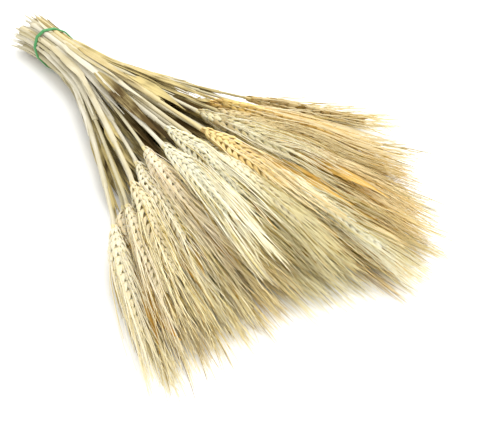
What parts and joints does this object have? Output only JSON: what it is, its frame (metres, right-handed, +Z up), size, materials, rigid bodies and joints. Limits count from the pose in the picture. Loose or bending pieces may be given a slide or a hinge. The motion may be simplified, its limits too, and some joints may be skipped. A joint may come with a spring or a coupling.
{
  "type": "dried bleached triticale bundle",
  "caption": "Dried, bleached triticale lying in a fan: straws bound near their cut ends with a green rubber band, bearded ears and long awns at the wide end.",
  "frame": {"origin": "middle of the footprint, on the table that the bundle lies on", "axes": "+X along the bundle from the cut ends to the awn tips, +Z up from the table"},
  "size_m": [0.5142, 0.37, 0.0522],
  "materials": {
    "cream_straw": "dry satin straw, bleached to cream",
    "wheat_straw": "dry satin straw, pale wheat yellow",
    "golden_straw": "dry satin straw, golden",
    "green_rubber": "smooth green rubber"
  },
  "bodies": {
    "root": {"stalk_01": "cream_straw", "stalk_02": "cream_straw", "stalk_03": "cream_straw", "stalk_04": "cream_straw", "stalk_05": "cream_straw", "stalk_06": "wheat_straw", "stalk_07": "cream_straw", "stalk_08": "cream_straw", "stalk_09": "wheat_straw", "stalk_10": "wheat_straw", "stalk_11": "cream_straw", "stalk_12": "cream_straw", "stalk_13": "wheat_straw", "stalk_14": "wheat_straw", "stalk_15": "cream_straw", "stalk_16": "cream_straw", "stalk_17": "cream_straw", "stalk_18": "cream_straw", "stalk_19": "golden_straw", "stalk_20": "wheat_straw", "stalk_21": "cream_straw", "stalk_22": "cream_straw", "stalk_23": "cream_straw", "stalk_24": "cream_straw", "stalk_25": "cream_straw", "stalk_26": "cream_straw", "stalk_27": "wheat_straw", "stalk_28": "cream_straw", "stalk_29": "wheat_straw", "stalk_30": "wheat_straw", "stalk_31": "golden_straw", "stalk_32": "cream_straw", "stalk_33": "golden_straw", "stalk_34": "cream_straw", "stalk_35": "wheat_straw", "stalk_36": "golden_straw", "stalk_37": "golden_straw", "stalk_38": "wheat_straw", "stalk_39": "golden_straw", "stalk_40": "wheat_straw", "stalk_41": "golden_straw", "stalk_42": "golden_straw", "stalk_43": "cream_straw", "stalk_44": "wheat_straw", "stalk_45": "golden_straw", "stalk_46": "wheat_straw", "stalk_47": "wheat_straw", "stalk_48": "golden_straw", "stalk_49": "cream_straw", "stalk_50": "golden_straw", "stalk_51": "golden_straw", "stalk_52": "golden_straw", "stalk_53": "cream_straw", "stalk_54": "cream_straw", "stalk_55": "wheat_straw", "rubber_band": "green_rubber"}
  },
  "joints": []
}
